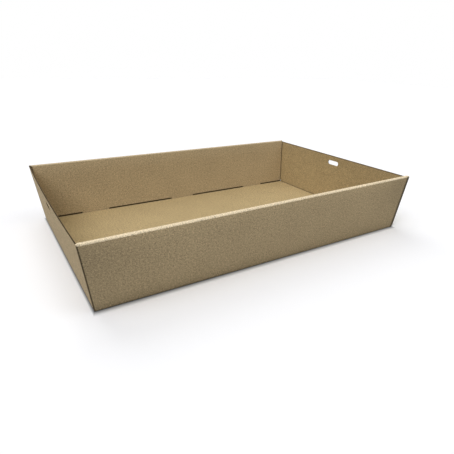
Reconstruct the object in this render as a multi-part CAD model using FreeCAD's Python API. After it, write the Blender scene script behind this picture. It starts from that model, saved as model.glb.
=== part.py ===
import FreeCAD, Part
import math
import os
from FreeCAD import Placement, Rotation, Vector

# A catering tray folded from one die-cut sheet of fine-flute corrugated board.
# Units are millimetres. The origin is the middle of the base on the floor, +X is the tray's
# length, +Y its width and +Z is up. Every wall leans outwards.

# Overall sizes, over the outside of the board and to the sharp corners of its folds
tray_length = 450.0
tray_width = 310.0
tray_height = 80.0
base_length = 434.0
base_width = 284.0

# The board and its folds
board = 1.5
fold_radius = 0.4

# Long walls: an outer ply, a rolled rim and an inner ply, with a flap between the plies
ply_gap = 0.35
rim_slack = 0.75
panel_gap = 0.5
foot_gap = 1.0

# End walls: one ply, with a raw upper edge just under the rims
edge_gap = 0.3
hand_slot_length = 25.0
hand_slot_height = 7.0
hand_slot_drop = 13.5

# Corner flaps, folded in from the end walls. The heel is how far the lower edge rises to the free
# end, which keeps the flap clear of the long wall in the flat sheet
flap_length = 45.0
flap_taper = 4.0
flap_heel = 11.0
flap_corner_radius = 6.0
flap_lift = 1.6

# Lock tabs on the inner plies, in slots through the base
tab_count = 3
tab_width = 40.0
tab_inset = 51.0
tab_taper = 1.0
tab_play = 0.3
tab_lift = 0.2

# Slopes and what follows from them
end_slope = (tray_length - base_length) / 2 / tray_height
side_slope = (tray_width - base_width) / 2 / tray_height
end_lean = math.atan(end_slope)
side_lean = math.atan(side_slope)
end_ply = board / math.cos(end_lean)
side_ply = board / math.cos(side_lean)
outer_radius = fold_radius + board
foot_width = 3 * side_ply + 2 * ply_gap
rim_width = foot_width + rim_slack
rim_underside = tray_height - board
end_top = rim_underside - edge_gap

# The flat of an end wall stops this far short of its flaps, where their folds begin
seam_inset = 2 * outer_radius

# The slanted end of a rim reaches this far below its underside
rim_end_depth = 3 * outer_radius

# How far a rough shape runs past the outline that trims it
overrun = 10.0

# The flat of the base ends where the folds of the walls begin
flat_x = base_length / 2 - outer_radius * math.tan((math.pi / 2 - end_lean) / 2)
flat_y = base_width / 2 - outer_radius * math.tan((math.pi / 2 - side_lean) / 2)

# The inner ply's visible face runs from the rim's inner corner to the foot, drawn in Y and Z
rim_corner = Vector(tray_width / 2 - rim_width, tray_height, 0)
foot_corner = Vector(base_width / 2 - foot_width, 0, 0)
panel_down = (foot_corner - rim_corner).normalize()
panel_lean = math.atan2(-panel_down.x, -panel_down.y)
panel_slope = math.tan(panel_lean)

# Planes that a flat drawing is laid in: its own x and y become these directions
SIDE_VIEW = Placement(Vector(), Rotation(Vector(0, 1, 0), Vector(0, 0, 1), Vector(1, 0, 0), "XYZ"))
END_VIEW = Placement(Vector(), Rotation(Vector(1, 0, 0), Vector(0, 0, 1), Vector(0, -1, 0), "XYZ"))

SHORTEST_EDGE = 1e-6


def outer_end_x(z):
    """Outer face of an end wall at height z."""
    return base_length / 2 + end_slope * z


def flap_outer_y(z):
    """Outer face of a corner flap at height z, just inside the long wall's outer ply."""
    return base_width / 2 + side_slope * z - side_ply - ply_gap


def seam_y(z):
    """Where the flat of an end wall passes into the fold of its flap."""
    return flap_outer_y(z) - seam_inset


def panel_end_x(z):
    """Side edge of an inner ply at height z."""
    return outer_end_x(z) - end_ply - panel_gap


def rounded(points, radii):
    """Edges of a path through flat points, with an arc of its own radius at each inner point."""
    edges = []
    start = points[0]
    for before, corner, after, radius in zip(points, points[1:], points[2:], radii):
        back = (before - corner).normalize()
        ahead = (after - corner).normalize()
        half_angle = back.getAngle(ahead) / 2
        reach = radius / math.tan(half_angle)
        first = corner + back * reach
        last = corner + ahead * reach
        if start.distanceToPoint(first) > SHORTEST_EDGE:
            edges.append(Part.makeLine(start, first))
        if radius > 0:
            sagitta = radius / math.sin(half_angle) - radius
            middle = corner + (back + ahead).normalize() * sagitta
            edges.append(Part.Arc(first, middle, last).toShape())
        start = last
    edges.append(Part.makeLine(start, points[-1]))
    return edges


def inset(points, depth):
    """The same path, moved by depth to its left."""
    ways = [(b - a).normalize() for a, b in zip(points, points[1:])]
    normals = [Vector(-way.y, way.x, 0) for way in ways]
    moved = [points[0] + normals[0] * depth]
    for corner, one, other in zip(points[1:], normals, normals[1:]):
        moved.append(corner + (one + other) * (depth / (1 + one.dot(other))))
    moved.append(points[-1] + normals[-1] * depth)
    return moved


def closed_face(edges):
    return Part.Face(Part.Wire(Part.__sortEdges__(edges)))


def loop_face(points):
    return Part.Face(Part.makePolygon(points + [points[0]]))


def board_section(path):
    """Section of folded board whose outer face follows the path."""
    inner_path = inset(path, board)
    folds = len(path) - 2
    outside = rounded(path, [outer_radius] * folds)
    inside = rounded(inner_path, [fold_radius] * folds)
    ends = [Part.makeLine(path[0], inner_path[0]), Part.makeLine(path[-1], inner_path[-1])]
    return closed_face(outside + inside + ends)


def both_sides(shape, axis):
    return [shape, shape.mirror(Vector(), axis)]


def make_base():
    """Flat bottom of the tray, up to the folds of its walls, with a slot for each lock tab."""
    plate = Part.makeBox(2 * flat_x, 2 * flat_y, board, Vector(-flat_x, -flat_y, 0))
    near = foot_corner.x - tab_play
    far = foot_corner.x + panel_slope * board + board / math.cos(panel_lean) + tab_play
    width = tab_width + 2 * tab_play
    for middle in tab_places():
        slot = Part.makeBox(width, far - near, board, Vector(middle - width / 2, near, 0))
        plate = plate.cut(both_sides(slot, Vector(0, 1, 0)))
    return plate


def tab_places():
    """Middle of each lock tab along the tray."""
    first = -base_length / 2 + tab_inset + tab_width / 2
    pitch = -2 * first / max(tab_count - 1, 1)
    return [first + pitch * number for number in range(tab_count)]


def make_outer_side():
    """A long wall's outer ply, its fold from the base and its rolled rim."""
    reach = outer_radius * math.tan((math.pi / 2 - panel_lean) / 2)
    path = [
        Vector(flat_y, 0, 0),
        Vector(base_width / 2, 0, 0),
        Vector(tray_width / 2, tray_height, 0),
        rim_corner,
        rim_corner + panel_down * (reach + board),
    ]
    section = board_section(path)
    section.Placement = SIDE_VIEW
    section.translate(Vector(-tray_length, 0, 0))
    wall = section.extrude(Vector(2 * tray_length, 0, 0))
    return wall.common(end_to_end()).cut(both_sides(rim_end_cut(), Vector(1, 0, 0)))


def end_to_end():
    """All that lies between the outer faces of the two end walls."""
    low, high = -board, tray_height + board
    outline = [
        Vector(-outer_end_x(low), low, 0),
        Vector(outer_end_x(low), low, 0),
        Vector(outer_end_x(high), high, 0),
        Vector(-outer_end_x(high), high, 0),
    ]
    face = loop_face(outline)
    face.Placement = END_VIEW
    face.translate(Vector(0, tray_width, 0))
    return face.extrude(Vector(0, -2 * tray_width, 0))


def rim_end_cut():
    """What a rim loses at one end, where its edge runs from the outer ply to the shorter inner ply."""
    low = rim_underside - rim_end_depth
    outer_y = tray_width / 2 - outer_radius
    inner_y = rim_corner.x + side_ply
    past_y = rim_corner.x - tray_height
    past_x = tray_length
    outline = [
        Vector(outer_end_x(low), outer_y, low),
        Vector(panel_end_x(low), inner_y, low),
        Vector(panel_end_x(low), past_y, low),
        Vector(past_x, past_y, low),
        Vector(past_x, outer_y, low),
    ]
    return loop_face(outline).extrude(Vector(end_slope, 0, 1) * tray_height)


def make_inner_side():
    """A long wall's inner ply with its lock tabs, one flat panel hanging from the rim."""
    fall = math.cos(panel_lean)
    lowest = board * math.sin(panel_lean)
    top = outer_radius * math.tan((math.pi / 2 - panel_lean) / 2)
    bottom = (tray_height - board - foot_gap - lowest) / fall
    tip = (tray_height - tab_lift - lowest) / fall

    def on_panel(x, down):
        return Vector(x, rim_corner.x + panel_down.x * down, tray_height + panel_down.y * down)

    def panel_edge(down):
        return panel_end_x(tray_height - down * fall)

    outline = [on_panel(panel_edge(top), top), on_panel(-panel_edge(top), top)]
    outline.append(on_panel(-panel_edge(bottom), bottom))
    for middle in tab_places():
        half = tab_width / 2
        outline.append(on_panel(middle - half, bottom))
        outline.append(on_panel(middle - half + tab_taper, tip))
        outline.append(on_panel(middle + half - tab_taper, tip))
        outline.append(on_panel(middle + half, bottom))
    outline.append(on_panel(panel_edge(bottom), bottom))
    into_wall = Vector(0, fall, -math.sin(panel_lean))
    return loop_face(outline).extrude(into_wall * board)


def end_edge():
    """Upper ends of an end wall's outer and inner faces, drawn in X and Z."""
    outer_z = end_top - board * math.sin(end_lean)
    outer = Vector(outer_end_x(outer_z), outer_z, 0)
    inner = outer + Vector(-math.cos(end_lean), math.sin(end_lean), 0) * board
    return outer, inner


def make_end_panel():
    """An end wall between the folds of its flaps, with its fold from the base and its hand slot."""
    outer, inner = end_edge()
    path = [Vector(flat_x, 0, 0), Vector(base_length / 2, 0, 0), outer]
    section = board_section(path)
    section.Placement = END_VIEW
    section.translate(Vector(0, tray_width, 0))
    wall = section.extrude(Vector(0, -2 * tray_width, 0))
    return wall.common(between_seams()).cut(hand_slot())


def between_seams():
    """All that lies between the two flap folds of an end wall."""
    low, high = -board, tray_height
    outline = [
        Vector(0, -seam_y(low), low),
        Vector(0, seam_y(low), low),
        Vector(0, seam_y(high), high),
        Vector(0, -seam_y(high), high),
    ]
    return loop_face(outline).extrude(Vector(tray_length, 0, 0))


def hand_slot():
    """A slot with round ends, square to the end wall that it goes through."""
    radius = hand_slot_height / 2
    straight = hand_slot_length / 2 - radius
    edges = [
        Part.makeLine(Vector(-straight, -radius, 0), Vector(straight, -radius, 0)),
        Part.Arc(
            Vector(straight, -radius, 0), Vector(straight + radius, 0, 0), Vector(straight, radius, 0)
        ).toShape(),
        Part.makeLine(Vector(straight, radius, 0), Vector(-straight, radius, 0)),
        Part.Arc(
            Vector(-straight, radius, 0), Vector(-straight - radius, 0, 0), Vector(-straight, -radius, 0)
        ).toShape(),
    ]
    height = tray_height - hand_slot_drop
    outward = Vector(math.cos(end_lean), 0, -math.sin(end_lean))
    upward = Vector(math.sin(end_lean), 0, math.cos(end_lean))
    centre = Vector(outer_end_x(height), 0, height)
    face = closed_face(edges)
    face.Placement = Placement(centre - outward * overrun, Rotation(Vector(0, 1, 0), upward, outward, "XYZ"))
    return face.extrude(outward * (2 * overrun))


def make_corner_flap():
    """The fold at one side of an end wall and the flap that it turns in between the long wall's plies."""
    end_normal = Vector(1, 0, -end_slope)
    flap_normal = Vector(0, 1, -side_slope)
    along_fold = end_normal.cross(flap_normal)
    upward = Vector(along_fold).normalize()
    across_end = upward.cross(end_normal).normalize()
    across_flap = upward.cross(flap_normal).normalize()
    inward = upward.cross(across_end)
    flap_way = Vector(across_flap.dot(across_end), across_flap.dot(inward), 0)
    end_leg = seam_inset + overrun
    flap_leg = flap_length + overrun
    section = board_section([Vector(-end_leg, 0, 0), Vector(), flap_way * flap_leg])
    foot = Vector(outer_end_x(0), flap_outer_y(0), 0)
    section.Placement = Placement(foot - along_fold * overrun, Rotation(across_end, inward, upward, "XYZ"))
    angle = section.extrude(along_fold * (tray_height + 2 * overrun))
    low = board + fold_radius + flap_lift
    return angle.common(flap_outline(low)).cut(between_seams())


def flap_outline(low):
    """Outline of a flap seen from the long side: square at its fold and tapered to its free end."""
    outer, inner = end_edge()
    beyond = outer + (outer - inner)
    free_top = Vector(inner.x - flap_length, inner.y - flap_taper, 0)
    free_bottom = Vector(outer_end_x(low) - end_ply - flap_length, low + flap_heel, 0)
    fold_bottom = Vector(outer_end_x(low) - end_ply, low, 0)
    corner_bottom = Vector(beyond.x, low, 0)
    points = [corner_bottom, beyond, inner, free_top, free_bottom, fold_bottom, corner_bottom]
    edges = rounded(points, [0, 0, flap_corner_radius, flap_corner_radius, 0])
    face = closed_face(edges)
    face.Placement = END_VIEW
    face.translate(Vector(0, tray_width, 0))
    return face.extrude(Vector(0, -tray_width, 0))


def make_tray():
    """The whole folded sheet as one solid."""
    side = make_outer_side().fuse(make_inner_side())
    end = make_end_panel().fuse(both_sides(make_corner_flap(), Vector(0, 1, 0)))
    walls = both_sides(side, Vector(0, 1, 0)) + both_sides(end, Vector(1, 0, 0))
    return make_base().fuse(walls).removeSplitter()


tray = make_tray()
print("tray: solids", len(tray.Solids), "valid", tray.isValid(), "volume", round(tray.Volume, 1))
os.makedirs("parts", exist_ok=True)
tray.Solids[0].exportStep("parts/tray.step")
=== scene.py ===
import math
from bisect import bisect_left

import bmesh
import bpy
from mathutils import Matrix, Vector


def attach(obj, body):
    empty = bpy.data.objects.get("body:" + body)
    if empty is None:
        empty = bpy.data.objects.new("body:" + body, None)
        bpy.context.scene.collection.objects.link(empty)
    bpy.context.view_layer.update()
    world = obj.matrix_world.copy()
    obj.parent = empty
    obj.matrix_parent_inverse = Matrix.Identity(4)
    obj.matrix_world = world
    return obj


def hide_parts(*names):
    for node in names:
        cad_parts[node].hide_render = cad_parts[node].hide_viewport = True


# A catering tray folded from one die-cut sheet of fine-flute board. The sheet is laid out flat,
# cut to its outline, marked with its flutes and then folded up, as the real one is. The mesh is
# the sheet's outer face; the board's thickness is added inwards at the end.

MM = 0.001

# Overall sizes, to the sharp corners of the folds
tray_length = 450.0 * MM
tray_width = 310.0 * MM
tray_height = 80.0 * MM
base_length = 434.0 * MM
base_width = 284.0 * MM

# Board and folds, with the play between the plies, at the rim, at the inner plies' ends and feet,
# and between an end wall's upper edge and the rim
board = 1.5 * MM
outer_radius = 1.9 * MM
ply_gap = 0.35 * MM
rim_slack = 0.75 * MM
panel_gap = 0.5 * MM
foot_gap = 1.0 * MM
edge_gap = 0.3 * MM

# Hand slots in the end walls
slot_length = 25.0 * MM
slot_height = 7.0 * MM
slot_drop = 13.5 * MM

# Corner flaps: length, taper towards the free end, corner radius there, and how high they start
flap_length = 45.0 * MM
flap_taper = 4.0 * MM
flap_corner = 6.0 * MM
flap_low = 3.5 * MM

# Lock tabs: their middles from the tray's middle, and their play in the base's slots
tab_middles = (0.0, 146.0 * MM)
tab_width = 40.0 * MM
tab_taper = 1.0 * MM
tab_play = 0.3 * MM
tab_lift = 0.2 * MM

# Columns of the mesh: four of them make one flute. The hand slot's height has its own, spare ones
# carry the long side past the base's end, and a few fill the base's corner
column_step = 0.8 * MM
columns_per_flute = 4
slot_columns = 9
spare_columns = 13
corner_columns = 2

# Slopes and leans from upright of the walls, widths of the three plies at foot and rim with the
# lines where the inner ply's face stands there, and the turn of each fold
end_slope = (tray_length - base_length) / 2 / tray_height
side_slope = (tray_width - base_width) / 2 / tray_height
end_lean = math.atan(end_slope)
side_lean = math.atan(side_slope)
end_ply = board / math.cos(end_lean)
side_ply = board / math.cos(side_lean)
foot_width = 3 * side_ply + 2 * ply_gap
rim_width = foot_width + rim_slack
foot_y = base_width / 2 - foot_width
rim_y = tray_width / 2 - rim_width
panel_lean = math.atan((rim_y - foot_y) / tray_height)

base_turn = math.pi / 2 - side_lean
rim_turn = math.pi / 2 + side_lean
panel_turn = math.pi / 2 - panel_lean
end_turn = math.pi / 2 - end_lean
flap_turn = math.acos(math.sin(end_lean) * math.sin(side_lean))


def fold_reach(turn):
    """How far a rounded fold starts before its sharp corner."""
    return outer_radius * math.tan(turn / 2)


flat_x = base_length / 2 - fold_reach(end_turn)
flat_y = base_width / 2 - fold_reach(base_turn)


class Strip:
    """Lines across the flat sheet, one after another, and the turn that each fold line makes."""

    def __init__(self, start):
        self.lines = [start]
        self.turns = []

    def straight(self, length, parts=1):
        """A level stretch of this length in equal parts."""
        start = self.lines[-1]
        self.lines += [start + length * (part + 1) / parts for part in range(parts)]
        return self.lines[-1]

    def fold(self, turn, parts):
        """A rounded fold: chords of its outer face, with part of the turn at each line."""
        chord = 2 * outer_radius * math.sin(turn / parts / 2)
        for part in range(parts + 1):
            share = 0.5 if part in (0, parts) else 1.0
            self.turns.append((self.lines[-1], turn * share / parts))
            if part < parts:
                self.lines.append(self.lines[-1] + chord)
        return self.lines[-1]


# Long side of the sheet, from the base's fold over the rim and down to the tabs' tips
side = Strip(flat_y)
wall_start = side.fold(base_turn, parts=3)
wall_length = tray_height / math.cos(side_lean) - fold_reach(base_turn) - fold_reach(rim_turn)
wall_end = side.straight(wall_length, parts=5)
rim_start = side.fold(rim_turn, parts=4)
rim_end = side.straight(rim_width - fold_reach(rim_turn) - fold_reach(panel_turn))
panel_start = side.fold(panel_turn, parts=4)
fall = math.cos(panel_lean)
rise = board * math.sin(panel_lean)
panel_length = (tray_height - board - foot_gap - rise) / fall - fold_reach(panel_turn)
panel_end = side.straight(panel_length, parts=4)
tab_end = side.straight((board + foot_gap - tab_lift) / fall)

# End of the sheet, from the base's fold to the raw upper edge
end = Strip(flat_x)
end_start = end.fold(end_turn, parts=3)
end_corner = end_start - fold_reach(end_turn)


def end_line(z):
    """Distance along the flat sheet at which an end wall is z high."""
    return end_corner + z / math.cos(end_lean)


def columns(length):
    """Number of mesh columns in this length of the sheet."""
    return round(length / column_step)


top_z = tray_height - board - edge_gap - board * math.sin(end_lean)
slot_z = tray_height - slot_drop
slot_low = end_line(slot_z) - slot_height / 2
slot_high = end_line(slot_z) + slot_height / 2
flap_start = end_line(flap_low)
end.straight(flap_start - end_start)
end.straight(slot_low - flap_start, columns(slot_low - flap_start))
end.straight(slot_height, slot_columns)
end_edge = end.straight(end_line(top_z) - slot_high, columns(end_line(top_z) - slot_high))

base_step = flat_x / columns(flat_x)
flute_pitch = columns_per_flute * base_step

# Rows of the sheet, from its middle line to the near edge of the lock tabs' slots. The second row
# is bent to the hand slot's outline, between the first and the third.
slot_near = foot_y - tab_play
slot_far = foot_y + rise / fall + board / fall + tab_play
end_rows = (5.0 * MM, 11.6 * MM, 30.0 * MM, 55.0 * MM, 80.0 * MM, 105.0 * MM, 124.0 * MM, slot_near)

# Slant of the end wall's seam with its flap, on the flat sheet
seam_slope = side_slope * math.cos(end_lean)
seam_lean = math.atan(seam_slope)


def seam(x):
    """Where the flat of an end wall passes into its flap's fold, at distance x along the sheet."""
    return slot_near + seam_slope * (x - end_corner)


# Places closer than this are one place
NEAR = 0.01 * MM


def close(value, other):
    return abs(value - other) < NEAR


def is_end(at):
    """True on the end wall and its flap, whose noted place has a 1 for its height."""
    return at.z > 0.5


def along(first, second):
    """The straight line through two points of the sheet, as x for a given y."""
    slope = (second[0] - first[0]) / (second[1] - first[1])
    return lambda y: first[0] + slope * (y - first[1])


class Sheet:
    """The mesh under work: points picked by their place on the flat sheet, and the operators."""

    def __init__(self, name):
        bpy.ops.object.select_all(action="DESELECT")
        bpy.ops.mesh.primitive_grid_add(
            x_subdivisions=columns(flat_x), y_subdivisions=1, size=1, location=(0.5, 0.5, 0)
        )
        self.object = bpy.context.object
        self.object.name = self.object.data.name = name
        bpy.ops.object.transform_apply(location=True, rotation=True, scale=True)
        bpy.ops.object.mode_set(mode="EDIT")
        bpy.ops.mesh.select_mode(type="VERT")
        self.resize((flat_x, end_rows[0], 1))
        self.noted = False

    def mesh(self):
        return bmesh.from_edit_mesh(self.object.data)

    def pick(self, test):
        """Select the points whose place passes the test, with the lines and faces between them."""
        bpy.ops.mesh.select_all(action="DESELECT")
        mesh = self.mesh()
        layer = mesh.verts.layers.float_vector.get("flat") if self.noted else None
        for vert in mesh.verts:
            if not vert.hide and test(vert[layer] if layer else vert.co):
                vert.select_set(True)
        mesh.select_flush(True)

    def pick_faces(self, test):
        """Select the faces whose middle passes the test."""
        bpy.ops.mesh.select_all(action="DESELECT")
        for face in self.mesh().faces:
            if not face.hide and test(face.calc_center_median()):
                face.select_set(True)

    def note_flat(self):
        """Keep each point's place on the flat sheet, with height 1 where it is on the sheet's end."""
        mesh = self.mesh()
        layer = mesh.verts.layers.float_vector.new("flat")
        for vert in mesh.verts:
            beyond = vert.co.x > flat_x + NEAR and not vert.hide
            vert[layer] = (vert.co.x, vert.co.y, 1.0 if beyond else 0.0)
        self.noted = True

    def move(self, way):
        bpy.ops.transform.translate(value=way)

    def extend(self, way):
        bpy.ops.mesh.extrude_region_move(TRANSFORM_OT_translate={"value": way})

    def resize(self, factors):
        bpy.ops.transform.resize(value=factors, center_override=(0, 0, 0))

    def turn(self, angle, axis, centre):
        """Rotate by the right-hand rule; with no window the operator's own angle is the other way."""
        bpy.ops.transform.rotate(value=-angle, orient_axis=axis, center_override=centre)

    def split(self, first, second):
        """Cut the selected faces along the line through two flat points."""
        way = Vector((second[0] - first[0], second[1] - first[1], 0)).normalized()
        bpy.ops.mesh.bisect(
            plane_co=(first[0], first[1], 0), plane_no=(way.y, -way.x, 0), threshold=NEAR / 10
        )

    def delete_faces(self, test):
        self.pick_faces(test)
        bpy.ops.mesh.delete(type="FACE")

    def hide(self, test):
        self.pick(test)
        bpy.ops.mesh.hide()

    def show_all(self):
        bpy.ops.mesh.reveal(select=False)


# Side edges of the long wall: the outer ply, the rim's slanted end and the inner ply
low_z = fold_reach(base_turn) * math.cos(side_lean)
high_z = tray_height - fold_reach(rim_turn) * math.cos(side_lean)
outer_edge = along(
    (base_length / 2 + end_slope * low_z, wall_start), (base_length / 2 + end_slope * high_z, wall_end)
)
inner_short = end_ply + panel_gap
top_in_z = tray_height - fold_reach(panel_turn) * fall
foot_z = tray_height - (panel_end - panel_start + fold_reach(panel_turn)) * fall
inner_edge = along(
    (base_length / 2 + end_slope * top_in_z - inner_short, panel_start),
    (base_length / 2 + end_slope * foot_z - inner_short, panel_end),
)
rim_edge = along((outer_edge(rim_start), rim_start), (inner_edge(rim_end), rim_end))
side_edges = (
    (flat_y, rim_start, outer_edge),
    (rim_start, rim_end, rim_edge),
    (rim_end, tab_end, inner_edge),
)


def lay_side(sheet):
    """A quarter of the base and the long side beyond it, flat and cut to its outline."""
    rows = end_rows + (slot_far, flat_y)
    for before, after in zip(rows, rows[1:]):
        sheet.pick(lambda at: at.y > before - NEAR)
        sheet.extend((0, after - before, 0))
    for before, after in zip(side.lines, side.lines[1:]):
        sheet.extend((0, after - before, 0))
    sheet.pick(lambda at: at.x > flat_x - NEAR and at.y > flat_y - NEAR)
    for column in range(spare_columns):
        sheet.extend((base_step, 0, 0))

    def beyond_edge(at):
        return any(low < at.y < high and at.x > edge(at.y) for low, high, edge in side_edges)

    cut_from = base_length / 2 - inner_short - 2 * base_step
    for low, high, edge in side_edges:
        sheet.pick_faces(lambda at: low < at.y < high and at.x > cut_from)
        sheet.split((edge(low), low), (edge(high), high))
    sheet.delete_faces(beyond_edge)

    half = tab_width / 2
    for middle in tab_middles:
        for way in (-1, 1):
            sheet.pick_faces(lambda at: at.y > panel_end)
            sheet.split((middle + way * half, panel_end), (middle + way * (half - tab_taper), tab_end))
            slot_edge = middle + way * (half + tab_play)
            sheet.pick_faces(lambda at: slot_near < at.y < slot_far)
            sheet.split((slot_edge, slot_near), (slot_edge, slot_far))

    def from_tab(at):
        return min(abs(at.x - middle) for middle in tab_middles) - half

    sheet.delete_faces(lambda at: at.y > panel_end and from_tab(at) > -tab_taper / 2)
    sheet.delete_faces(lambda at: slot_near < at.y < slot_far and from_tab(at) < tab_play)


def lay_end(sheet):
    """The end wall and its flap, beyond the base's end edge, flat and cut to their outline."""
    sheet.pick(lambda at: close(at.x, flat_x) and at.y < slot_near + NEAR)
    width = slot_near
    for before, after in zip(end.lines, end.lines[1:]):
        sheet.extend((after - before, 0, 0))
        sheet.resize((1, seam(after) / width, 1))
        width = seam(after)
    cut_hand_slot(sheet)
    sheet.pick(lambda at: at.x > flap_start - NEAR and close(at.y, seam(at.x)))
    for before, after in zip(flap.lines, flap.lines[1:]):
        sheet.extend((0, (after - before) / math.cos(seam_lean), 0))
    cut_flap(sheet)


def in_hand_slot(at):
    """True inside the row that is bent to the hand slot's outline."""
    return at.y < (slot_length + end_rows[0]) / 2


def cut_hand_slot(sheet):
    """A slot with round ends: one row is bent to its outline and what is inside goes."""
    radius = slot_height / 2
    straight = slot_length / 2 - radius
    middle = (slot_low + slot_high) / 2
    widening = seam(middle) / slot_near
    row_before, row_after = end_rows[0] * widening, end_rows[2] * widening
    row = end_rows[1] / slot_near

    # A line close to each long edge, so that the round ends leave it gently
    first_turn = math.radians(20)
    first_bend = radius * (1 - math.cos(first_turn))
    for line in (slot_low + first_bend, slot_high - first_bend):
        sheet.pick_faces(lambda at: abs(at.x - line) < column_step and row_before < at.y < row_after)
        sheet.split((line, 0), (line, 1))

    def on_outline(at):
        return slot_low - NEAR < at.x < slot_high + NEAR and close(at.y, row * seam(at.x))

    for point in [vert.co.copy() for vert in sheet.mesh().verts if on_outline(vert.co)]:
        across = straight + math.sqrt(max(radius**2 - (point.x - middle) ** 2, 0))
        sheet.pick(lambda at: (at - point).length < NEAR)
        sheet.move((0, across - point.y, 0))
    sheet.delete_faces(lambda at: slot_low < at.x < slot_high and in_hand_slot(at))


def cut_flap(sheet):
    """Tapered edges, and corners rounded by two slanted cuts, at the flap's free end."""

    def on_flap(at):
        return at.x > flap_start and at.y > seam(at.x)

    length = flap_reach / math.cos(seam_lean)
    high_end = end_edge - flap_taper - length * seam_slope
    for edge, edge_end, way in ((flap_start, flap_start + flap_taper, 1), (end_edge, high_end, -1)):
        taper_end = (edge_end, seam(edge_end) + length)
        cuts = [((edge, seam(edge)), taper_end)]
        for turn in (math.radians(30), math.radians(60)):
            back = flap_corner * (1 - math.sin(turn))
            inward = flap_corner * (1 - math.cos(turn))
            point = (taper_end[0] + way * inward, taper_end[1] - back)
            slant = (point[0] + way * math.sin(turn), point[1] + math.cos(turn))
            cuts.append((point, slant))
        for first, second in cuts:
            sheet.pick_faces(on_flap)
            sheet.split(first, second)
            line = along(first, second)
            sheet.delete_faces(lambda at: on_flap(at) and way * (line(at.y) - at.x) > NEAR)


# The flap beyond the end wall's seam, by distance square to its slanted fold
flap_outer = base_width / 2 - side_ply - ply_gap
flap = Strip(0.0)
flap.straight((flap_outer - slot_near) * math.cos(seam_lean) - fold_reach(flap_turn))
flap.fold(flap_turn, parts=3)
flap_reach = flap.straight(flap_length - fold_reach(flap_turn), parts=2)


def fold_side(sheet):
    """Turn the long side up at the base, over the rim and down, from its far end inwards."""
    for line, angle in reversed(side.turns):
        sheet.pick(lambda at: not is_end(at) and at.y > line + NEAR)
        sheet.turn(angle, "X", (0, line, 0))


def fold_end(sheet):
    """Turn the flap in at its slanted fold, then the end wall up at the base."""
    cross = 1 / math.cos(seam_lean)
    corner = (end_corner, slot_near, 0)
    sheet.pick(is_end)
    sheet.turn(-seam_lean, "Z", corner)
    for line, angle in reversed(flap.turns):
        sheet.pick(lambda at: is_end(at) and at.y > seam(at.x) + line * cross + NEAR)
        sheet.turn(angle, "X", (0, slot_near + line, 0))
    sheet.pick(is_end)
    sheet.turn(seam_lean, "Z", corner)
    for line, angle in reversed(end.turns):
        sheet.pick(lambda at: is_end(at) and at.x > line + NEAR)
        sheet.turn(-angle, "Y", (line, 0, 0))


# How far the liner sinks between two flutes, and more where a crease crosses them
flute_dip = 0.06 * MM
crease_dip = 0.22 * MM


def flute_column(at):
    """Number of the mesh column at this place, where each fourth one is the top of a flute."""
    if is_end(at):
        number = bisect_left(end.lines, at.x - NEAR) - end.lines.index(flap_start)
        return number if number >= 0 else None
    number = round(at.x / base_step)
    return number if abs(at.x - number * base_step) < NEAR else None


def on_crease(at):
    """True on the two creases of the rim, which cross the flutes."""
    return not is_end(at) and (wall_end < at.y < rim_start or rim_end < at.y < panel_start)


def at_cut(at):
    """True beside the sheet's cut edges and on the base's folds, where the liner stays level."""
    if is_end(at):
        return slot_low - NEAR < at.x < slot_high + NEAR and in_hand_slot(at)
    if at.y < flat_y - NEAR:
        return at.x > flat_x - NEAR or at.y > slot_near - NEAR
    if at.y < wall_start + NEAR or at.y > panel_end - NEAR:
        return True
    return any(
        low - NEAR < at.y < high + NEAR and at.x > edge(at.y) - 2 * base_step
        for low, high, edge in side_edges
    )


def press_flutes(sheet):
    """Let the liner sink between the flutes, a little everywhere and more at the rim's creases.

    The column halfway between two flutes sinks by the whole dip and the ones beside it by half.
    """
    for creased, dip in ((False, flute_dip), (True, crease_dip)):
        for places, share in (((1, 3), 0.5), ((2,), 1.0)):
            def sinks(at):
                number = flute_column(at)
                if number is None or number % columns_per_flute not in places or at_cut(at):
                    return False
                return on_crease(at) == creased

            sheet.pick(sinks)
            sheet.move((0, 0, dip * share))


def fill_corner(sheet):
    """Carry the base's corner out under the flap's fold, so that no light comes up there."""

    def base_corner(at):
        return not is_end(at) and close(at.x, flat_x) and slot_near - NEAR < at.y < flat_y + NEAR

    sheet.pick(base_corner)
    for column in range(corner_columns):
        sheet.extend((base_step, 0, 0))
    bpy.ops.mesh.select_all(action="SELECT")
    bpy.ops.mesh.remove_doubles(threshold=NEAR / 2)


def make_quarter():
    """A quarter of the sheet, cut and marked flat and then folded up."""
    sheet = Sheet("tray_sheet")
    lay_side(sheet)
    sheet.hide(lambda at: at.y > slot_far + NEAR)
    lay_end(sheet)
    sheet.note_flat()
    sheet.show_all()
    press_flutes(sheet)
    fill_corner(sheet)
    sheet.hide(lambda at: not is_end(at) and at.y > flat_y + NEAR)
    fold_end(sheet)
    sheet.show_all()
    sheet.hide(is_end)
    fold_side(sheet)
    sheet.show_all()
    bpy.ops.mesh.select_all(action="SELECT")
    bpy.ops.mesh.flip_normals()
    bpy.ops.object.mode_set(mode="OBJECT")
    return sheet.object


def apply(piece, kind, **settings):
    """Add a modifier with these settings and apply it."""
    modifier = piece.modifiers.new(kind.title(), kind)
    for name, value in settings.items():
        setattr(modifier, name, value)
    bpy.ops.object.modifier_apply(modifier=modifier.name)


def complete(piece):
    """Mirror the quarter to the whole sheet, and the noted flat places with it."""
    apply(piece, "MIRROR", use_axis=(True, True, False), merge_threshold=NEAR)
    flat = piece.data.attributes["flat"].data
    for vert in piece.data.vertices:
        place = flat[vert.index].vector
        flat[vert.index].vector = (
            math.copysign(place.x, vert.co.x), math.copysign(place.y, vert.co.y), place.z
        )


# Finishes of the outer liner, the inner liner, the cut edges and the hollows between the liners
OUTER, INNER, EDGE, HOLLOW = range(4)

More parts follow.
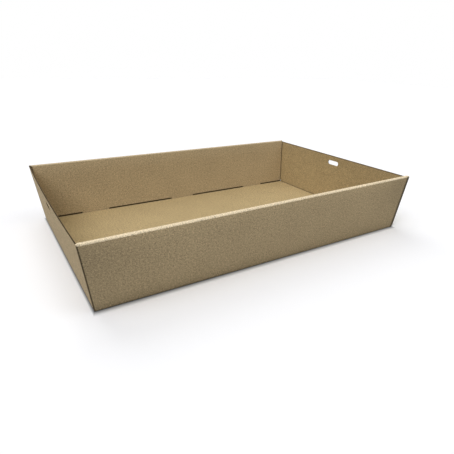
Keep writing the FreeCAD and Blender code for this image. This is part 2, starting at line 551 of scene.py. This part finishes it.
# Thickness of a liner, and how deep a cut edge is hollow between its two liners
liner = 0.22 * MM
hollow_depth = 0.9 * MM


def thicken(piece):
    """Give the sheet its board thickness, with its two liners and its cut edges told apart."""
    apply(
        piece, "SOLIDIFY", thickness=board, offset=-1, use_even_offset=True, use_quality_normals=True,
        material_offset=INNER - OUTER, material_offset_rim=EDGE - OUTER,
    )


def hollow_edges(piece):
    """Sink the middle of every cut edge between its two liners, and give it the painted shade of the
    flutes' hollows.
    """
    bpy.ops.object.mode_set(mode="EDIT")
    bpy.ops.mesh.select_mode(type="FACE")
    bpy.ops.mesh.select_all(action="DESELECT")
    for face in bmesh.from_edit_mesh(piece.data).faces:
        if face.material_index == EDGE:
            face.select_set(True)
    bpy.ops.mesh.inset(thickness=liner, depth=0, use_boundary=True, use_even_offset=False)
    bpy.ops.mesh.inset(thickness=0, depth=-hollow_depth, use_boundary=True, use_even_offset=False)
    for face in bmesh.from_edit_mesh(piece.data).faces:
        if face.select:
            # The sunk middles take the painted shade of the flutes' hollows
            face.material_index = HOLLOW
    bpy.ops.object.mode_set(mode="OBJECT")


# How many millimetres each corner of the real tray stands off its drawn place: base corners, then
# rim corners, each row from the near left one to the near right, the far left and the far right one
corner_shifts = (
    (0.44, 0.41, 0.0), (0.47, -0.40, 0.0), (-0.01, 0.74, 0.0), (-0.52, -0.24, 0.0),
    (-0.91, -1.90, -0.99), (-0.51, 1.77, 0.51), (-0.51, -0.26, -0.33), (1.08, -0.74, 0.10),
)

# How far the left end wall bows outwards at the middle of its upper edge
end_bow = 2.0 * MM


def bow_end(piece):
    """Bow the left end wall outwards, less towards its foot and its sides."""
    wall_reach = 3 * board
    group = piece.vertex_groups.new(name="bow")
    for vert in piece.data.vertices:
        x, y, z = vert.co
        half_width = foot_y + (rim_y - foot_y) * z / tray_height
        if -x > base_length / 2 + end_slope * z - wall_reach and abs(y) < half_width and z > board:
            group.add([vert.index], (1 - (y / half_width) ** 2) * z / tray_height, "REPLACE")
    apply(piece, "DISPLACE", direction="X", mid_level=0.0, strength=-end_bow, vertex_group=group.name)
    piece.vertex_groups.clear()


def shift_corners(piece):
    """Pull the tray a little out of true, corner by corner, as folded board is."""
    size = (tray_length, tray_width, tray_height)
    bpy.ops.object.add(type="LATTICE", location=(0, 0, tray_height / 2))
    cage = bpy.context.object
    cage.scale = size
    for axis in "uvw":
        setattr(cage.data, "points_" + axis, 2)
        setattr(cage.data, "interpolation_type_" + axis, "KEY_LINEAR")
    for point, shift in zip(cage.data.points, corner_shifts):
        point.co_deform = [place + way * MM / span for place, way, span in zip(point.co, shift, size)]
    bpy.context.view_layer.update()
    bpy.context.view_layer.objects.active = piece
    apply(piece, "LATTICE", object=cage)
    bpy.data.objects.remove(cage)
    bpy.ops.object.select_all(action="DESELECT")
    piece.select_set(True)


class Wire:
    """A socket of a material's nodes, with arithmetic that adds Math nodes."""

    def __init__(self, nodes, socket):
        self.nodes = nodes
        self.socket = socket

    def maths(self, kind, *others):
        return self.nodes.add("ShaderNodeMath", {"operation": kind}, self, *others)

    def __add__(self, other):
        return self.maths("ADD", other)

    def __sub__(self, other):
        return self.maths("SUBTRACT", other)

    def __mul__(self, other):
        return self.maths("MULTIPLY", other)

    def __truediv__(self, other):
        return self.maths("DIVIDE", other)

    def __rsub__(self, other):
        return self.nodes.add("ShaderNodeMath", {"operation": "SUBTRACT"}, other, self)

    __radd__ = __add__
    __rmul__ = __mul__

    def cosine(self):
        return self.maths("COSINE")

    def absolute(self):
        return self.maths("ABSOLUTE")

    def above(self, level):
        return self.maths("GREATER_THAN", level)

    def most(self, other):
        """The greater of the two."""
        return self.maths("MAXIMUM", other)

    def between(self, low, high):
        """0 below low, 1 above high and a smooth rise between them."""
        settings = {"interpolation_type": "SMOOTHSTEP"}
        return self.nodes.add("ShaderNodeMapRange", settings, self, low, high, 0.0, 1.0)

    def past(self, line, reach):
        """The same rise, over this reach from a line on the sheet."""
        return self.between(line + reach[0], line + reach[1])


class Nodes:
    """The node tree of a material or the world."""

    def __init__(self, owner):
        self.owner = owner
        self.tree = owner.node_tree

    def feed(self, socket, value):
        """Link a wire to the socket, or give the socket its value."""
        if isinstance(value, Wire):
            self.tree.links.new(value.socket, socket)
        elif socket.type == "RGBA":
            socket.default_value = (*value[:3], 1.0)
        elif value is not None:
            socket.default_value = value

    def add(self, kind, settings, *values, out=None, **named):
        """A node of this kind: its settings, its inputs in order or by name, and the output wanted."""
        node = self.tree.nodes.new(kind)
        for name, value in settings.items():
            setattr(node, name, value)
        sockets = [socket for socket in node.inputs if socket.enabled]
        for socket, value in zip(sockets, values):
            self.feed(socket, value)
        for name, value in named.items():
            socket = next(socket for socket in sockets if socket.name == name.replace("_", " "))
            self.feed(socket, value)
        outputs = [socket for socket in node.outputs if socket.enabled and out in (None, socket.name)]
        return Wire(self, outputs[0])

    def finish(self, **named):
        """Feed the shader of a material by the names of its sockets."""
        shader = self.tree.nodes["Principled BSDF"]
        self.feed(shader.inputs["Specular IOR Level"], PAPER_SHINE)
        for name, value in named.items():
            self.feed(shader.inputs[name.replace("_", " ")], value)
        return self.owner

    def object_place(self):
        return self.add("ShaderNodeTexCoord", {}, out="Object")

    def sheet_place(self):
        return self.add("ShaderNodeAttribute", {"attribute_name": "flat"}, out="Vector")

    def scaled(self, place, factors):
        return self.add("ShaderNodeVectorMath", {"operation": "MULTIPLY"}, place, factors)

    def noise(self, place, size, detail=2.0, roughness=0.5):
        """Cloudy values around 0, with clouds of this size in metres."""
        clouds = self.add(
            "ShaderNodeTexNoise", {}, Vector=place, Scale=1 / size, Detail=detail, Roughness=roughness
        )
        return clouds - 0.5

    def parts(self, place):
        return [self.add("ShaderNodeSeparateXYZ", {}, place, out=axis) for axis in "XYZ"]

    def blend(self, amount, first, second):
        settings = {"data_type": "RGBA"}
        return self.add("ShaderNodeMix", settings, Factor=amount, A=first, B=second)

    def shade(self, colour, amount):
        """The colour made darker or lighter by a factor."""
        return self.add("ShaderNodeVectorMath", {"operation": "SCALE"}, colour, Scale=amount)

    def bump(self, height, distance):
        return self.add("ShaderNodeBump", {}, Strength=1.0, Distance=distance, Height=height)


def new_finish(name):
    """The nodes of a new material."""
    material = bpy.data.materials.new(name)
    material.use_nodes = True
    return Nodes(material)


def srgb(red, green, blue):
    """A colour given in 0 to 255, as the shader's linear values."""
    channels = [value / 255 for value in (red, green, blue)]
    return tuple(c / 12.92 if c <= 0.04045 else ((c + 0.055) / 1.055) ** 2.4 for c in channels)


# Colours of the outer and inner liner, the rim paled by rubbing and a painted highlight, the cut edges
# and the painted shade down between the flutes
OUTER_KRAFT = srgb(187, 167, 131)
INNER_KRAFT = srgb(183, 161, 118)
RUBBED_AND_HIGHLIGHT_KRAFT = srgb(238, 220, 186)
CUT_KRAFT = srgb(146, 126, 94)
# Painted shade of the flutes' hollows in the cut edges
FLUTE_SHADE = srgb(50, 40, 28)

# Share of the usual shine that paper has, its roughness and how much that varies
PAPER_SHINE = 0.12
LINER_ROUGHNESS = 0.82
LINER_ROUGHNESS_SPREAD = 0.15
CUT_ROUGHNESS = 0.92

# Mottling of the liner: sizes of its clouds, grain and fibres, how far the last two are stretched
# along the sheet, and how much each of them and the flutes' stripes change its lightness
CLOUD_SIZE = 35 * MM
GRAIN_SIZE = 2.4 * MM
FIBRE_SIZE = 0.8 * MM
GRAIN_STRETCH = (0.8, 1.0, 1.0)
FIBRE_STRETCH = (0.6, 1.0, 1.0)
CLOUD_CONTRAST = 0.18
GRAIN_CONTRAST = 1.5
FIBRE_CONTRAST = 2.4
STRIPE_CONTRAST = 0.02

# Height of the liner's grain, and the fibres' share in it
LINER_RELIEF = 0.04 * MM
FIBRE_RELIEF = 0.4

# Grain of the cut edges
CUT_GRAIN_SIZE = 0.5 * MM
CUT_GRAIN_CONTRAST = 0.8
CUT_RELIEF = 0.05 * MM

# Share of its lightness that the liner keeps in the painted shade of the creases and along the cut side
# edges
CREASE_LIGHT = 0.2
FOLD_LIGHT = 0.45

# How much painted shade darkens the long walls' ends, how far that reaches, and the share of it
# # at the walls' foot
PAINTED_END_SHADE = 0.22
END_SHADE_REACH = 80 * MM
END_SHADE_FOOT = 0.3

# Lines of painted shade on the liner: how far from its edge or crease each one starts and ends to change
WALL_EDGE = (0.5 * MM, 1.6 * MM)
PANEL_EDGE = (0.6 * MM, 1.8 * MM)
PANEL_FOOT = (-1.2 * MM, -0.5 * MM)
CORNER_FOLD = (1.1 * MM, 2.0 * MM)
BASE_FOLD = (0.2 * MM, 1.2 * MM)
END_EDGE = (-1.5 * MM, -0.7 * MM)
UNDER_PANEL = (-1.0 * MM, -0.4 * MM)
WALL_FOOT = (-2.0 * MM, 0.0)
TAB_EDGE = (0.0, 1.0 * MM)

# The line of painted shade along a long wall's edge is this many times wider at the tray's right end
RIGHT_EDGE_WIDTH = 4.0

# Rim paled by rubbing and by a painted highlight: where it pales and browns again, how ragged its borders
# are, how patchy it is, and
# # the share of the kraft colour left on the back rim, which is paled less than the front one
RIM_OUTSIDE = (0.3 * MM, 0.8 * MM)
RIM_INSIDE = (-1.0 * MM, -0.2 * MM)
RAGGED_GRAIN = 1.6 * MM
RAGGED_FIBRES = 1.0 * MM
PATCH_SIZE = 4 * MM
PATCH_CONTRAST = 0.6
BACK_RIM_KEPT = 0.7


def fibre_tone(nodes, place):
    """Lightness of the liner around 1: cloudy, speckled with fibres and faintly striped by the flutes."""
    stripes = (nodes.parts(place)[0] * (2 * math.pi / flute_pitch)).cosine()
    clouds = nodes.noise(place, CLOUD_SIZE, detail=3.0)
    grain = nodes.noise(nodes.scaled(place, GRAIN_STRETCH), GRAIN_SIZE, detail=4.0, roughness=0.85)
    fibres = nodes.noise(nodes.scaled(place, FIBRE_STRETCH), FIBRE_SIZE, detail=2.0, roughness=0.7)
    mottling = clouds * CLOUD_CONTRAST + grain * GRAIN_CONTRAST + fibres * FIBRE_CONTRAST
    return mottling + stripes * STRIPE_CONTRAST + 1.0, grain, fibres


def edge_inset(across, deep, first, second, edge):
    """How far inside the sheet's slanted side edge a place is."""
    slope = (edge(second) - edge(first)) / (second - first)
    return (deep - first) * slope + edge(first) - across


def between_tabs(across):
    """1 along the inner ply's foot where it stands off the base, and 0 at the lock tabs."""
    nearest = across
    for middle in tab_middles:
        nearest = nearest.maths("MINIMUM", (across - middle).absolute())
    return nearest.past(tab_width / 2, TAB_EDGE)


def edge_shade(along_sheet, across, deep, on_end):
    """Painted shade: dark lines down the plies' side edges, along the inner ply's foot and in the corner
    folds, and darker wall ends.
    """
    on_wall = deep.past(wall_start, WALL_FOOT) * (1 - deep.between(wall_end, rim_start))
    wall_inset = edge_inset(across, deep, wall_start, wall_end, outer_edge)
    height = deep.between(wall_start, wall_end) * (1 - END_SHADE_FOOT) + END_SHADE_FOOT
    # Painted shade on the long walls' ends, less towards the foot
    end_shade = (1 - wall_inset.between(0.0, END_SHADE_REACH)) * height * on_wall * (1 - on_end)
    width = along_sheet.above(0.0) * (RIGHT_EDGE_WIDTH - 1) + 1.0
    wall_line = (1 - (wall_inset / width).between(*WALL_EDGE)) * on_wall
    panel_inset = edge_inset(across, deep, panel_start, panel_end, inner_edge)
    panel_line = (1 - panel_inset.between(*PANEL_EDGE)) * deep.between(rim_end, panel_start)
    foot_line = deep.past(panel_end, PANEL_FOOT) * between_tabs(across)
    side_line = wall_line.most(panel_line).most(foot_line) * (1 - on_end)
    past_seam = deep - (across - end_corner) * seam_slope - slot_near
    fold_line = past_seam.between(*CORNER_FOLD) * on_end
    lined = 1 - side_line.most(fold_line) * (1 - CREASE_LIGHT)
    return lined * (1 - end_shade * PAINTED_END_SHADE)


def fold_shade(across, deep, on_end):
    """Painted shade: thin darker lines along an end wall's fold and cut edge, and under the inner plies'
    feet.
    """
    middle = (flat_x + end_start) / 2
    reach = (end_start - flat_x) / 2
    fold_line = 1 - (across - middle).absolute().past(reach, BASE_FOLD)
    cut_line = across.past(end_edge, END_EDGE)
    line = fold_line.most(cut_line) * (1 - FOLD_LIGHT)
    under_panel = deep.past(foot_y, UNDER_PANEL) * between_tabs(across) * (1 - on_end)
    return 1 - line.most(under_panel * (1 - CREASE_LIGHT))


def rim_wear_and_highlight(over_sheet, deep, on_end, ragged):
    """1 where the rim's liner is pale from rubbing and a painted highlight, with ragged borders, and less
    on the back rim.
    """
    border = deep + ragged
    on_rim = border.past(wall_end, RIM_OUTSIDE) * (1 - border.past(panel_start, RIM_INSIDE))
    return on_rim * (1 - on_end) * (1 - over_sheet.above(0.0) * BACK_RIM_KEPT)


def liner_finish(name, kraft, outside):
    """Brown liner. Outside, the rim's creases have stretched and rubbed it paler, with a painted
    highlight on top.
    """
    nodes = new_finish(name)
    place = nodes.sheet_place()
    tone, grain, fibres = fibre_tone(nodes, place)
    along_sheet, over_sheet, on_end = nodes.parts(place)
    across, deep = along_sheet.absolute(), over_sheet.absolute()
    colour = kraft
    if outside:
        # The rim pales from rubbing and from a painted highlight
        wear_and_highlight = rim_wear_and_highlight(over_sheet, deep, on_end, grain * RAGGED_GRAIN + fibres * RAGGED_FIBRES)
        colour = nodes.blend(wear_and_highlight, kraft, RUBBED_AND_HIGHLIGHT_KRAFT)
        patches = nodes.noise(place, PATCH_SIZE, detail=3.0, roughness=0.7)
        tone = tone - patches * wear_and_highlight * PATCH_CONTRAST
        # Painted shade along the plies' edges and corner folds, and on the long walls' ends
        tone = tone * edge_shade(along_sheet, across, deep, on_end)
    else:
        # Painted shade along the end walls' folds and cut edges, and on the base under the inner plies'
        # feet
        tone = tone * fold_shade(across, deep, on_end)
    return nodes.finish(
        Base_Color=nodes.shade(colour, tone),
        Roughness=fibres * LINER_ROUGHNESS_SPREAD + LINER_ROUGHNESS,
        Normal=nodes.bump(grain + fibres * FIBRE_RELIEF, LINER_RELIEF),
    )


def edge_finish(name, colour):
    """Cut board: liner edges, or the painted shade down in the flutes' hollows."""
    nodes = new_finish(name)
    grain = nodes.noise(nodes.object_place(), CUT_GRAIN_SIZE)
    return nodes.finish(
        Base_Color=nodes.shade(colour, grain * CUT_GRAIN_CONTRAST + 1.0),
        Roughness=CUT_ROUGHNESS,
        Normal=nodes.bump(grain, CUT_RELIEF),
    )


def finish_tray(piece):
    for material in (
        liner_finish("outer_liner", OUTER_KRAFT, outside=True),
        liner_finish("inner_liner", INNER_KRAFT, outside=False),
        edge_finish("cut_edge", CUT_KRAFT),
        edge_finish("painted_flute_shade", FLUTE_SHADE),
    ):
        piece.data.materials.append(material)


# Floor in metres: it lies a hair under the tray, and has faint clouds
FLOOR_SIZE = 8.0
FLOOR_LEVEL = -0.05 * MM
FLOOR_ROUGHNESS = 0.9
FLOOR_CLOUD_SIZE = 0.3
FLOOR_CLOUD_CONTRAST = 0.01

# How white the floor is to the camera and to the light itself
FLOOR_SEEN = 1.04
FLOOR_BOUNCE = 0.57

# Contact shade: share of its lightness that the floor keeps under the tray, and how far from the
# base's outline that starts and ends to change, which is nearer at the base's ends by the ratio
UNDER_TRAY = 0.12
CONTACT_SHADE = (-3.0 * MM, 9.0 * MM)
CONTACT_RATIO = 3.0


def seen_rays(nodes):
    """1 for what the camera sees, straight or in a mirror or glass, and 0 for the light itself."""
    kinds = ("Is Camera Ray", "Is Glossy Ray", "Is Transmission Ray")
    path = nodes.tree.nodes.new("ShaderNodeLightPath")
    camera, glossy, through = (Wire(nodes, path.outputs[kind]) for kind in kinds)
    return camera.most(glossy).most(through)


def make_floor():
    """White floor that throws less light back than the camera sees, dark under and close to the tray."""
    bpy.ops.object.select_all(action="DESELECT")
    bpy.ops.mesh.primitive_plane_add(size=FLOOR_SIZE, location=(0, 0, FLOOR_LEVEL))
    floor = bpy.context.object
    floor.name = floor.data.name = "floor"
    nodes = new_finish("white_floor")
    place = nodes.object_place()
    across, deep, _ = nodes.parts(place)
    beyond_end = (across.absolute() - base_length / 2) * CONTACT_RATIO
    beyond = beyond_end.most(deep.absolute() - base_width / 2)
    shade = beyond.between(*CONTACT_SHADE) * (1 - UNDER_TRAY) + UNDER_TRAY
    white = seen_rays(nodes) * (FLOOR_SEEN - FLOOR_BOUNCE) + FLOOR_BOUNCE
    clouds = nodes.noise(place, FLOOR_CLOUD_SIZE, detail=1.0) * FLOOR_CLOUD_CONTRAST + 1.0
    colour = nodes.shade((1.0, 1.0, 1.0), white * clouds * shade)
    floor.data.materials.append(nodes.finish(Base_Color=colour, Roughness=FLOOR_ROUGHNESS))


# Suns: the way that each one's light comes from, its strength and its colour. Each is this many
# degrees wide, for soft shadows.
SUNS = {
    "top": ((0.0, 0.0, 1.0), 0.50, (1.0, 1.0, 1.0)),
    "front_left": ((-0.707, -0.707, 1.19), 1.34, (1.0, 1.0, 1.0)),
    "front_right": ((0.707, -0.707, 1.19), 0.46, (1.0, 1.0, 1.0)),
    "left": ((-1.0, 0.0, 1.19), 0.50, (0.96, 1.0, 1.18)),
    "back": ((0.0, 1.0, 1.19), 0.84, (1.0, 1.0, 1.0)),
}
SUN_WIDTH = 40
WORLD_STRENGTH = 0.06


def light_scene():
    """Soft even light from all sides, and a world that the camera sees as white."""
    for name, (source, strength, colour) in SUNS.items():
        data = bpy.data.lights.new(name, "SUN")
        data.energy = strength
        data.color = colour
        data.angle = math.radians(SUN_WIDTH)
        sun = bpy.data.objects.new(name, data)
        sun.location = source
        sun.rotation_euler = Vector(source).to_track_quat("Z", "Y").to_euler()
        bpy.context.scene.collection.objects.link(sun)
    world = bpy.data.worlds.new("studio")
    world.use_nodes = True
    bpy.context.scene.world = world
    nodes = Nodes(world)
    background = nodes.tree.nodes["Background"]
    nodes.feed(background.inputs["Color"], (1.0, 1.0, 1.0))
    nodes.feed(background.inputs["Strength"], seen_rays(nodes) * (1 - WORLD_STRENGTH) + WORLD_STRENGTH)
    bpy.context.scene.view_settings.view_transform = "Standard"


# Camera: place in metres and viewing angles in degrees
CAMERA_PLACE = (-0.2749, -0.4985, 0.2287)
CAMERA_HEADING = 34.7
CAMERA_DIP = 22.96
CAMERA_ROLL = 1.82
CAMERA_NEAREST = 0.01

# Lens and middle of the view in the photo's pixels, and the width that the lens is given for
PHOTO_WIDTH = 454
LENS_PIXELS = 405.2
MIDDLE_X = 258.6
MIDDLE_Y = 230.8
SENSOR = 36.0


def place_camera():
    """The camera, turned by its heading, its dip below level and its roll."""
    heading, dip, roll = (math.radians(angle) for angle in (CAMERA_HEADING, CAMERA_DIP, CAMERA_ROLL))
    ahead = Vector((math.sin(heading), math.cos(heading), 0))
    forward = ahead * math.cos(dip) - Vector((0, 0, math.sin(dip)))
    level = Vector((math.cos(heading), -math.sin(heading), 0))
    upright = level.cross(forward)
    right = level * math.cos(roll) + upright * math.sin(roll)
    up = right.cross(forward)
    data = bpy.data.cameras.new("camera")
    data.sensor_width = SENSOR
    data.lens = LENS_PIXELS / PHOTO_WIDTH * SENSOR
    data.shift_x = (PHOTO_WIDTH / 2 - MIDDLE_X) / PHOTO_WIDTH
    data.shift_y = (MIDDLE_Y - PHOTO_WIDTH / 2) / PHOTO_WIDTH
    data.clip_start = CAMERA_NEAREST
    camera = bpy.data.objects.new("camera", data)
    turn = Matrix((right, up, -forward)).transposed().to_4x4()
    camera.matrix_world = Matrix.Translation(CAMERA_PLACE) @ turn
    bpy.context.scene.collection.objects.link(camera)
    bpy.context.scene.camera = camera


# Edges that turn by fewer degrees than this are shaded smooth
SMOOTH_UNDER = 40

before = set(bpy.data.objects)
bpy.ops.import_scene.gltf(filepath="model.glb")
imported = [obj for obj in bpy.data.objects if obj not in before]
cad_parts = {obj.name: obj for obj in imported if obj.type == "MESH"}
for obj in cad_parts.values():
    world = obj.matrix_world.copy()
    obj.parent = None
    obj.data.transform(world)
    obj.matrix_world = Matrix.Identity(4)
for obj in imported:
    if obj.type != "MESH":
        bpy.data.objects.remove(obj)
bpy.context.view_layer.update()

tray = make_quarter()
complete(tray)
finish_tray(tray)
thicken(tray)
hollow_edges(tray)
bow_end(tray)
shift_corners(tray)
bpy.ops.object.shade_smooth_by_angle(angle=math.radians(SMOOTH_UNDER))
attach(tray, "root")
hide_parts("tray")

make_floor()
light_scene()
place_camera()
